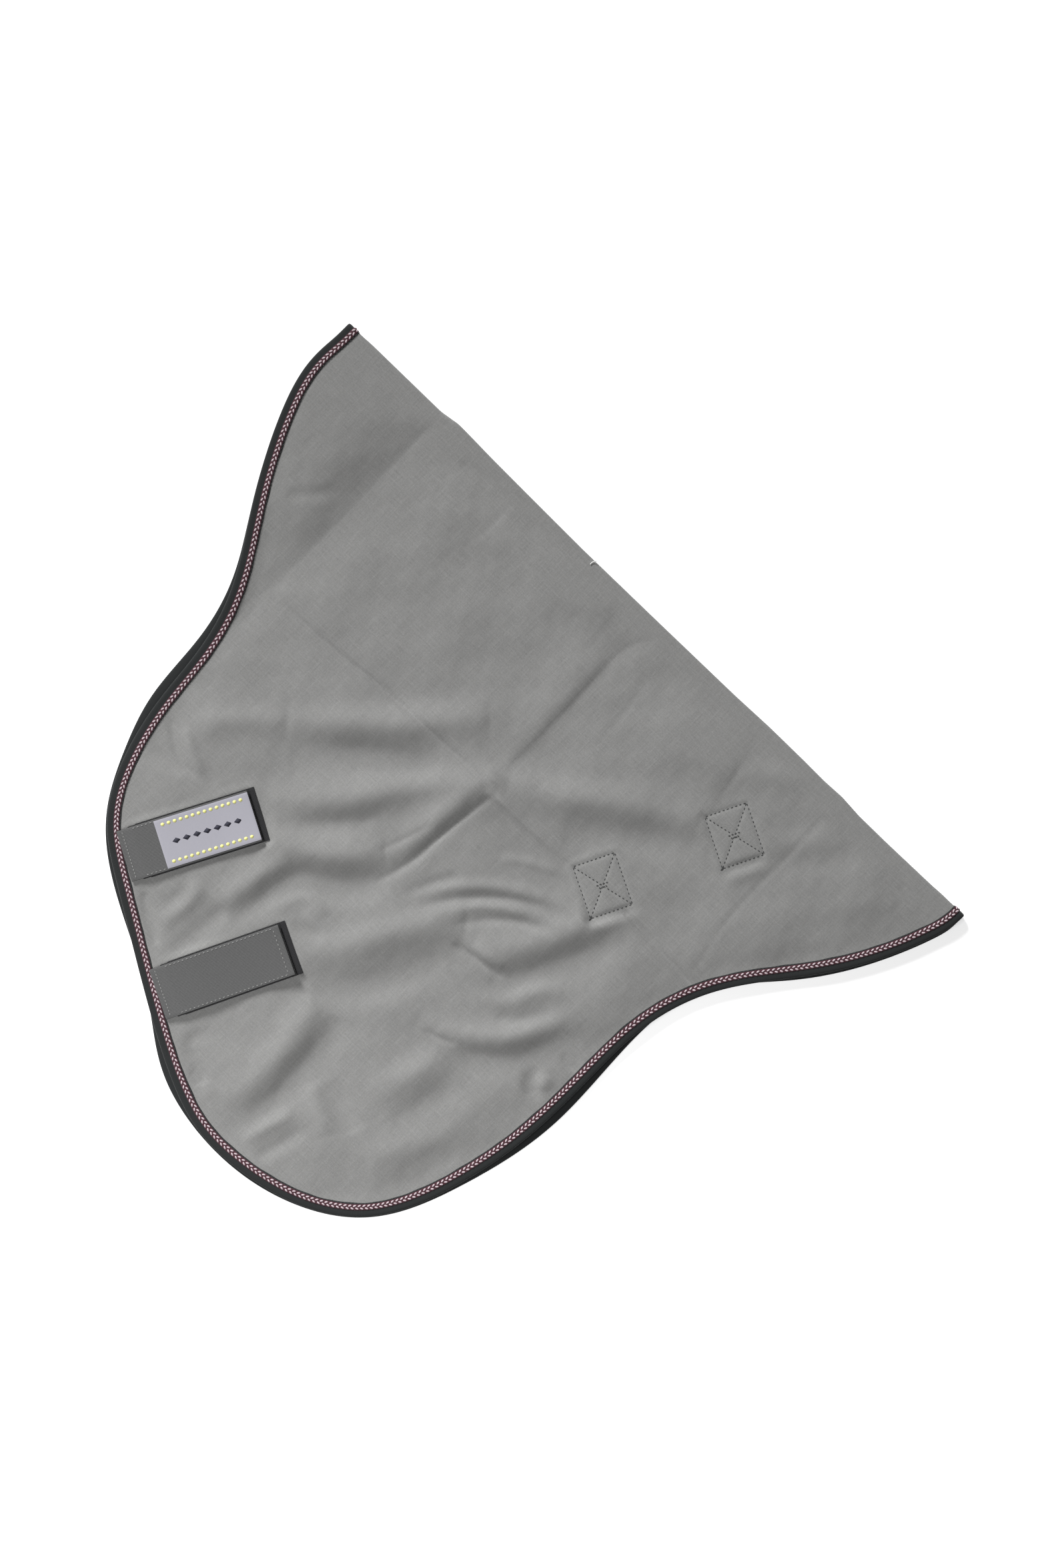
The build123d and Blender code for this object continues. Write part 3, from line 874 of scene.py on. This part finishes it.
def shaped(size, lengthwise):
    """Turns and stretches the new primitive, then keeps only its points and faces, sorted, to be repeated."""
    block = bpy.context.object
    bpy.ops.object.mode_set(mode="EDIT")
    bpy.ops.mesh.select_all(action="SELECT")
    if lengthwise:
        bpy.ops.transform.rotate(value=math.pi / 2, orient_axis="Y", center_override=(0, 0, 0))
    bpy.ops.transform.resize(value=size, center_override=(0, 0, 0))
    bpy.ops.object.mode_set(mode="OBJECT")
    points = points_of(block)
    order = np.lexsort(np.round(points.T / MM, 4) + 0.0)
    rank = np.argsort(order)
    faces = sorted((tuple(rank[list(p.vertices)].tolist()) for p in block.data.polygons), key=sorted)
    bpy.data.objects.remove(block, do_unlink=True)
    return points[order], faces


def unit_ball(segments, rings, size):
    """A ball stretched to a stitch, with its poles at the ends."""
    bpy.ops.object.select_all(action="DESELECT")
    bpy.ops.mesh.primitive_uv_sphere_add(segments=segments, ring_count=rings, radius=0.5)
    return shaped(size, True)


def unit_prism(sides, size):
    """A flat figure with a few sides."""
    bpy.ops.object.select_all(action="DESELECT")
    bpy.ops.mesh.primitive_cylinder_add(vertices=sides, radius=0.5, depth=1)
    return shaped(size, False)


def repeated(name, unit, x, t, heading, height, material):
    """A unit repeated at places of the cut, each turned to its heading."""
    points, faces = unit
    n, m = len(x), len(points)
    c, s = np.cos(heading)[:, None], np.sin(heading)[:, None]
    px = x[:, None] + points[None, :, 0] * c - points[None, :, 1] * s
    pt = t[:, None] + points[None, :, 0] * s + points[None, :, 1] * c
    height = np.broadcast_to(np.asarray(height, float), (n,))
    ph = height[:, None] + points[None, :, 2]
    whole = folded(px, pt, ph).reshape(-1, 3)
    flat = np.repeat(points[None, :, :2], n, axis=0).reshape(-1, 2)
    turned = [tuple(reversed([k + i * m for k in f])) for i in range(n) for f in faces]
    return mesh_object(name, whole, turned, flat, material)


def along_edge(pitch, w, start=0.0):
    """Evenly spaced places along the edge, a distance inwards, with the edge's heading there."""
    number = round(edge_length / pitch)
    run = (np.arange(number) + start) * edge_length / number
    loop = np.concatenate([edge + inward * w, (edge + inward * w)[:1]])
    way = np.concatenate([along, along[:1]])
    x, t = (np.interp(run, edge_run, loop[:, k]) for k in (0, 1))
    heading = np.arctan2(np.interp(run, edge_run, way[:, 1]), np.interp(run, edge_run, way[:, 0]))
    return x, t, heading


yarn = unit_ball(6, 5, (3.5 * MM, 1.75 * MM, 1.1 * MM))
rows = [(along_edge(4.9 * MM, 7.95 * MM), 0.42), (along_edge(4.9 * MM, 10.45 * MM, 0.5), -0.42)]
x, t, heading = (np.concatenate([row[0][k] for row in rows]) for k in range(3))
slant = np.concatenate([np.full(len(row[0][0]), row[1]) for row in rows])
stitches = repeated("braid_yarn", yarn, x, t, heading + slant, 1.22 * MM, braid_pink)
over_crest(stitches)

sewing = unit_ball(6, 4, (2.9 * MM, 0.5 * MM, 0.5 * MM))
x, t, heading = along_edge(3.6 * MM, 12.75 * MM)
seam = repeated("binding_seam", sewing, x, t, heading, 0.66 * MM, thread_dark)
over_crest(seam)
print("braid yarns", len(slant), "binding stitches", len(x))

# %% [markdown]
# Flat goods: webbing, hook and loop tape and the label are all cut strips. A strip is a grid with a
# thickness and rounded edges, modelled flat and then laid on the cut at its place and turn, following
# the cloth.

# %% Strips of tape
def strip(name, length, width, thick, material, rows, soft=0.25):
    """A flat strip from its root, along x, with its under face at height 0."""
    bpy.ops.object.select_all(action="DESELECT")
    bpy.ops.mesh.primitive_grid_add(x_subdivisions=rows[0], y_subdivisions=rows[1], size=1)
    made = bpy.context.object
    made.name = name
    bpy.ops.object.mode_set(mode="EDIT")
    bpy.ops.mesh.select_all(action="SELECT")
    bpy.ops.transform.resize(value=(length, width, 1), center_override=(0, 0, 0))
    bpy.ops.transform.translate(value=(length / 2, 0, 0))
    bpy.ops.object.mode_set(mode="OBJECT")
    solid = made.modifiers.new("thickness", "SOLIDIFY")
    solid.thickness = thick
    solid.offset = 1
    bpy.ops.object.modifier_apply(modifier="thickness")
    edges = made.modifiers.new("edges", "BEVEL")
    edges.width = thick * soft
    edges.segments = 2
    edges.limit_method = "ANGLE"
    bpy.ops.object.modifier_apply(modifier="edges")
    made.data.materials.append(material)
    return made


def put(piece, points):
    """Moves a piece's points to new places."""
    piece.data.vertices.foreach_set("co", points.astype(np.float32).ravel())


def lay(piece, place, turn, side, height, shift=0.0):
    """Lays a flat piece on the cut: height gives how far above the outer face each of its points lies."""
    mesh = piece.data
    local = points_of(piece)
    a, b = local[:, 0] + shift, local[:, 1]
    while mesh.uv_layers:
        mesh.uv_layers.remove(mesh.uv_layers[0])
    layer = mesh.uv_layers.new(name="cut")
    index = np.zeros(len(mesh.loops), int)
    mesh.loops.foreach_get("vertex_index", index)
    layer.data.foreach_set("uv", np.stack([a, b], axis=1)[index].astype(np.float32).ravel())
    x, y = on_cut(place, turn, a, b)
    put(piece, folded(x, side_t(y, side), local[:, 2] + height(a, b)))
    if side == "far":
        mesh.flip_normals()
    mesh.update()
    mesh.shade_smooth()
    bpy.ops.object.select_all(action="DESELECT")
    bpy.context.view_layer.objects.active = piece
    piece.select_set(True)
    bpy.ops.object.shade_smooth_by_angle(angle=math.radians(50))


def at(level):
    """The same height everywhere."""
    return lambda a, b: np.full_like(a, level)


print("strips can be cut and laid")

# %% [markdown]
# The throat tabs. Each is 50 mm webbing with its end turned under and sewn at the throat edge. Hook
# tape sits on its under face, and a wider piece of loop tape is sewn to the side, where the tab is
# parked while the cover is off the horse. The tab stands on the two tapes, so it rises from its root
# and casts a small shadow.

# %% The throat tabs
def tab_height(a, b):
    """Under face of a tab: on the binding at its root, then up on to the hook and loop tapes."""
    climb = rise(a, 5 * MM, 17 * MM)
    tip = rise(a, 92 * MM, 131 * MM)
    curl = (b / (25 * MM)) ** 2 * (0.25 + 0.35 * tip)
    return 1.25 * MM + 0.95 * MM * climb + 1.3 * MM * tip + MM * curl * climb


def on_tab(above):
    """Heights a distance above the under face of a tab."""
    return lambda a, b: tab_height(a, b) + above


TAB_LENGTH = 130 * MM
dash = unit_ball(6, 4, (2.3 * MM, 1.0 * MM, 0.8 * MM))


def sewn(name, dashes, place, turn, height, material, side="near", unit=dash):
    """Stitches at local places (along, across, heading) of a strip."""
    a, b, way = (np.array(v, float) for v in zip(*dashes))
    x, y = on_cut(place, turn, a, b)
    t = side_t(y, side)
    heading = turn + way
    heading = -heading if side == "near" else heading
    level = height(a, b) if callable(height) else height
    made = repeated(name, unit, x, t, heading, level, material)
    if side == "far":
        made.data.flip_normals()
    return made


def row(start, end, pitch=4.2 * MM):
    """Dashes from one local point to another."""
    start, end = np.array(start, float), np.array(end, float)
    number = max(1, int(round(np.linalg.norm(end - start) / pitch)))
    way = math.atan2(end[1] - start[1], end[0] - start[0])
    part = (np.arange(number) + 0.5) / number
    return [(*(start + (end - start) * p), way) for p in part]


for which, (place, turn) in TABS.items():
    turn = math.radians(turn)
    body = f"{which}_tab"
    root = np.array([*on_cut(place, turn, 0, 0), 13 * MM])
    way = np.array([math.cos(turn), math.sin(turn), 0])
    parked = strip(f"near_{which}_loop", 118 * MM, 53 * MM, 1.0 * MM, loop_black, (36, 16))
    lay(parked, place, turn, "near", at(0.05 * MM), 19 * MM)
    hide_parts(f"near_{which}_loop_strip")
    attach(parked, "near_side")
    hooks = strip(f"{which}_tab_hooks", 119.5 * MM, 51.8 * MM, 1.0 * MM, hook_black, (40, 14))
    lay(hooks, place, turn, "near", on_tab(-1.02 * MM), 11.5 * MM)
    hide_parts(f"{which}_tab_hook_strip")
    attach(hooks, body)
    tape = strip(f"{which}_tab_webbing", TAB_LENGTH, 50 * MM, 1.4 * MM, webbing_grey, (60, 18), 0.3)
    lay(tape, place, turn, "near", tab_height)
    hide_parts(f"{which}_tab_tape", f"{which}_tab_sewn_end")
    start, end = root + way * 6.8 * MM, root + way * 12.5 * MM
    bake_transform(tape)
    on_top = on_tab(1.45 * MM)
    anchor = sewn(f"{which}_tab_anchor_seam", row((5.2 * MM, -23 * MM), (5.2 * MM, 23 * MM), 3.4 * MM),
                  place, turn, on_top, thread_grey)
    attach(anchor, "near_side")
    seam_end = 124 * MM if which == "lower" else 36 * MM
    dashes = row((15 * MM, -23 * MM), (seam_end, -23 * MM)) + row((15 * MM, 23 * MM), (seam_end, 23 * MM))
    if which == "lower":
        dashes += row((seam_end, -22 * MM), (seam_end, 22 * MM))
    seam = sewn(f"{which}_tab_seam", dashes, place, turn, on_top, thread_grey)
    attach(seam, body)
    print(which, "tab at", place, "mm on the cut")

# %% [markdown]
# The woven label covers the upper tab from 37 mm to its tip. The real one carries a name; this one has
# a plain row of small lozenges in its place, between the two rows of yellow dots.

# %% The label
place, turn = TABS["upper"][0], math.radians(TABS["upper"][1])
label = strip("upper_tab_label", 93 * MM, 47 * MM, 0.45 * MM, label_lavender, (44, 18), 0.3)
lay(label, place, turn, "near", on_tab(1.4 * MM), 37 * MM)
label.name = "woven_label"
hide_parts("upper_tab_label")
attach(label, "upper_tab")
on_label = on_tab(1.9 * MM)

diamond = unit_prism(4, (8.0 * MM, 5.4 * MM, 0.2 * MM))
dot = unit_prism(10, (3.7 * MM, 3.4 * MM, 0.12 * MM))
dots = [((44.5 + 5.95 * k) * MM, side * 18.2 * MM, 0) for k in range(14) for side in (-1, 1)]
dots_piece = sewn("label_dots", dots, place, turn, on_label, dot_yellow, unit=dot)
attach(dots_piece, "upper_tab")
marks = [((52.5 + 10.2 * k) * MM, 0, 0) for k in range(7)]
marks_piece = sewn("label_lozenges", marks, place, turn, on_label, mark_dark, unit=diamond)
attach(marks_piece, "upper_tab")
print("label dots", len(dots), "lozenges", len(marks))

# %% [markdown]
# Inside, four short straps hold the cover to the rug's rings: one at the withers and one at the
# shoulder on each side. Each is sewn through the side with a box and a cross, which is all that shows
# outside.

# %% Rug straps and their stitching
PATCH = 56 * MM
BOX_WIDE = 45 * MM


def under_lining(piece):
    """Lowers a piece by as much as the under layer lies below the thickness of the cloth."""
    points = points_of(piece)
    x, v = points[:, 0], CREST_Y - points[:, 1]
    points[:, 2] += sampled(lining, x, v) - (sampled(near_top, x, v) - CLOTH_THICK)
    put(piece, points)


for side in ("near", "far"):
    for name, place in STRAPS.items():
        body = f"{side}_side"
        under = at(-CLOTH_THICK - 1.0 * MM)
        strap = strip(f"{side}_{name}_webbing", PATCH + 75 * MM, BOX_WIDE, 1.0 * MM, webbing_grey, (44, 14))
        lay(strap, place, STRAP_TURN, side, under, -PATCH / 2)
        if side == "near":
            under_lining(strap)
        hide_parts(f"{side}_{name}_strap")
        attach(strap, body)
        for kind, start, look in (("loop", -25, loop_black), ("hook", 52, hook_black)):
            pad = strip(f"{side}_{name}_{kind}", 48 * MM, 39 * MM, 0.4 * MM, look, (16, 10))
            lay(pad, place, STRAP_TURN, side, at(-CLOTH_THICK - 1.4 * MM), start * MM)
            if side == "near":
                under_lining(pad)
            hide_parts(f"{side}_{name}_{kind}_pad")
            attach(pad, body)
        e, f = PATCH / 2 - 2 * MM, BOX_WIDE / 2 - 1.5 * MM
        box = row((-e, -f), (e, -f)) + row((e, -f), (e, f)) + row((e, f), (-e, f)) + row((-e, f), (-e, -f))
        box += row((-e, -f), (e, f)) + row((-e, f), (e, -f))
        for k in range(7):
            box.append(((1.5 if k % 2 else -1.5) * MM, (1.6 * k - 4.8) * MM, 1.3 - 0.6 * (k % 2)))
        box += [(e + k * 0.5 * MM, -f - k * 0.7 * MM, 0.6 + k * 0.7) for k in (-1.6, -0.8, 0, 0.8, 1.6)]
        seam = sewn(f"{side}_{name}_box_seam", box, place, STRAP_TURN, at(0.16 * MM), thread_dark, side)
        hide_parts(f"{side}_{name}_stitches")
        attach(seam, body)
print("rug straps", len(STRAPS) * 2)

# %% [markdown]
# On the far side two strips of loop tape take the tabs when the cover is on the horse. They are sewn
# flat near the throat edge, so they stay in the thickness of that side.

# %% Far loop strips and the loose thread
for which, (place, turn) in TABS.items():
    catch = strip(f"far_{which}_loop", 95 * MM, 50 * MM, 0.5 * MM, loop_black, (30, 14))
    lay(catch, place, math.radians(turn), "far", at(0.02 * MM), 20 * MM)
    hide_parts(f"far_{which}_loop_strip")
    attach(catch, "far_side")

bpy.ops.object.select_all(action="DESELECT")
bpy.ops.mesh.primitive_cylinder_add(vertices=8, radius=0.35 * MM, depth=7 * MM)
snip = bpy.context.object
snip.name = "loose_thread"
bpy.ops.object.mode_set(mode="EDIT")
bpy.ops.mesh.select_all(action="SELECT")
bpy.ops.mesh.subdivide(number_cuts=4)
bpy.ops.transform.rotate(value=math.radians(90), orient_axis="Y", center_override=(0, 0, 0))
bpy.ops.object.mode_set(mode="OBJECT")
spine = points_of(snip)
spine[:, 1] += 1.2 * MM * np.cos(spine[:, 0] / (3.5 * MM) * 1.4)
cosine, sine = math.cos(math.radians(70)), math.sin(math.radians(70))
x = CREST_START + 316 * MM + spine[:, 0] * cosine - spine[:, 1] * sine
y = CREST_Y + 1.0 * MM + spine[:, 0] * sine + spine[:, 1] * cosine
put(snip, np.stack([x, y, 9.0 * MM + spine[:, 2]], axis=1))
snip.data.materials.append(thread_white)
snip.data.shade_smooth()
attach(snip, "near_side")
print("loose thread", len(snip.data.vertices), "points")
